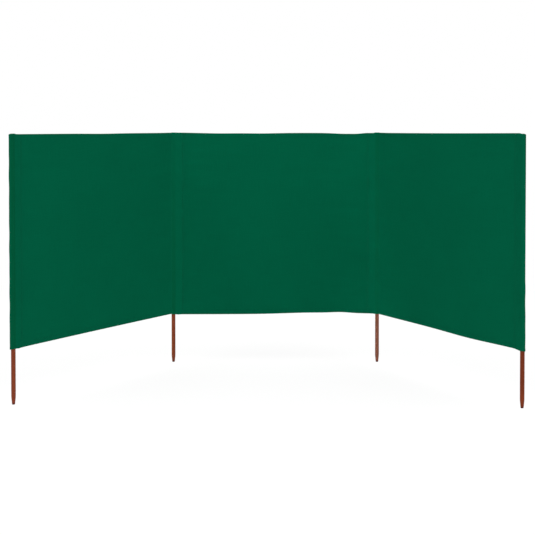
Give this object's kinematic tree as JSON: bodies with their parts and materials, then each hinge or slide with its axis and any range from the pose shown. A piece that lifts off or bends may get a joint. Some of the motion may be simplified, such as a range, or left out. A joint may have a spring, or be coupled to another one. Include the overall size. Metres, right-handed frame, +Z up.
{
  "type": "beach windbreak",
  "caption": "Beach windbreak: a run of taut cloth bays sewn into sleeves on pointed wooden poles, with end bays that swing forward for shelter.",
  "frame": {"origin": "centre of the flat point of the left inner pole, where it stands", "axes": "+X along the middle bay to the right inner pole, +Z up the poles, -Y to the sheltered side"},
  "size_m": [2.8343, 1.1804, 1.504],
  "materials": {
    "cloth": "dark green woven cloth, matt",
    "pole_wood": "red-brown stained softwood, satin",
    "thread": "dark green sewing thread"
  },
  "bodies": {
    "middle_bay": {"pole_left_inner": "pole_wood", "pole_right_inner": "pole_wood", "sleeve_left_inner": "cloth", "sleeve_right_inner": "cloth", "sleeve_top_left_inner": "cloth", "sleeve_top_right_inner": "cloth", "panel_middle": "cloth", "top_hem_middle": "cloth", "bottom_hem_middle": "cloth"},
    "left_bay": {"pole_left_outer": "pole_wood", "sleeve_left_outer": "cloth", "sleeve_top_left_outer": "cloth", "panel_left": "cloth", "top_hem_left": "cloth", "bottom_hem_left": "cloth", "fold_edge_left": "cloth"},
    "right_bay": {"pole_right_outer": "pole_wood", "sleeve_right_outer": "cloth", "sleeve_top_right_outer": "cloth", "panel_right": "cloth", "top_hem_right": "cloth", "bottom_hem_right": "cloth", "fold_edge_right": "cloth"}
  },
  "joints": [
    {"name": "left_fold", "type": "hinge", "parent": "middle_bay", "child": "left_bay", "pos_m": [0, 0, 0.9], "axis": [0, 0, 1], "range_deg": [-143.5, 36.5]},
    {"name": "right_fold", "type": "hinge", "parent": "middle_bay", "child": "right_bay", "pos_m": [1.335, 0, 0.9], "axis": [0, 0, -1], "range_deg": [-149.5, 30.5]}
  ]
}
